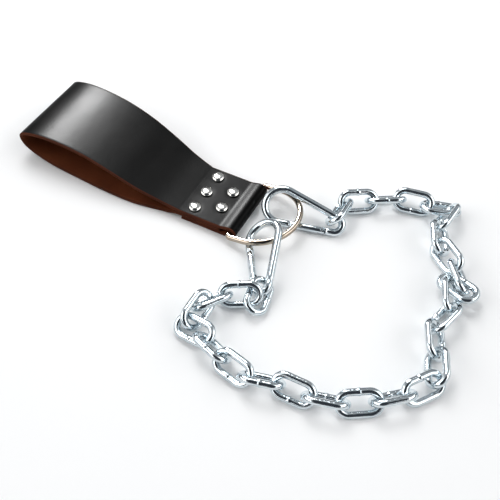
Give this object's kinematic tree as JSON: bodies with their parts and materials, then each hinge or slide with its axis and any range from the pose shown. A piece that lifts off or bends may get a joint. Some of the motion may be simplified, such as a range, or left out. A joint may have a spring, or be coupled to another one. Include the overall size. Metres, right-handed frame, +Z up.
{
  "type": "dip_belt",
  "caption": "Short gym dip belt: a wide black leather loop riveted round a steel ring, with a zinc chain joined to the ring by a spring snap hook at each end.",
  "frame": {"origin": "Centre of the flat underside of the riveted neck of the strap, on the floor, midway between the two rows of rivets.", "axes": "+X runs along the strap from its loop to the ring, +Y to the left of that across the strap, +Z up from the floor."},
  "size_m": [0.4131, 0.2385, 0.0313],
  "materials": {
    "black_leather": "semi-gloss grain, brown flesh side and edges",
    "nickel_plate": "polished nickel plate on steel",
    "bright_zinc": "bright zinc plate on steel"
  },
  "bodies": {
    "belt": {"strap": "black_leather", "rivet_1": "nickel_plate", "rivet_2": "nickel_plate", "rivet_3": "nickel_plate", "rivet_4": "nickel_plate", "rivet_5": "nickel_plate", "ring": "nickel_plate", "hook_a_body": "bright_zinc", "hook_b_body": "bright_zinc", "link_01": "bright_zinc", "link_02": "bright_zinc", "link_03": "bright_zinc", "link_04": "bright_zinc", "link_05": "bright_zinc", "link_06": "bright_zinc", "link_07": "bright_zinc", "link_08": "bright_zinc", "link_09": "bright_zinc", "link_10": "bright_zinc", "link_11": "bright_zinc", "link_12": "bright_zinc", "link_13": "bright_zinc", "link_14": "bright_zinc", "link_15": "bright_zinc", "link_16": "bright_zinc", "link_17": "bright_zinc", "link_18": "bright_zinc", "link_19": "bright_zinc", "link_20": "bright_zinc", "link_21": "bright_zinc", "link_22": "bright_zinc", "link_23": "bright_zinc", "link_24": "bright_zinc", "link_25": "bright_zinc", "link_26": "bright_zinc", "link_27": "bright_zinc"},
    "gate_a": {"hook_a_gate": "bright_zinc"},
    "gate_b": {"hook_b_gate": "bright_zinc"}
  },
  "joints": [
    {"name": "gate_a_opens", "type": "hinge", "parent": "belt", "child": "gate_a", "pos_m": [0.09148, 0.01126, 0.00357], "axis": [-0.1252, 0.5424, -0.8307], "range_deg": [0, 16], "stiffness_Nm_per_rad": 0.02, "springref_deg": -11.46},
    {"name": "gate_b_opens", "type": "hinge", "parent": "belt", "child": "gate_b", "pos_m": [0.06609, -0.06001, 0.00337], "axis": [0.4669, 0.3032, -0.8307], "range_deg": [0, 16], "stiffness_Nm_per_rad": 0.02, "springref_deg": -11.46}
  ]
}
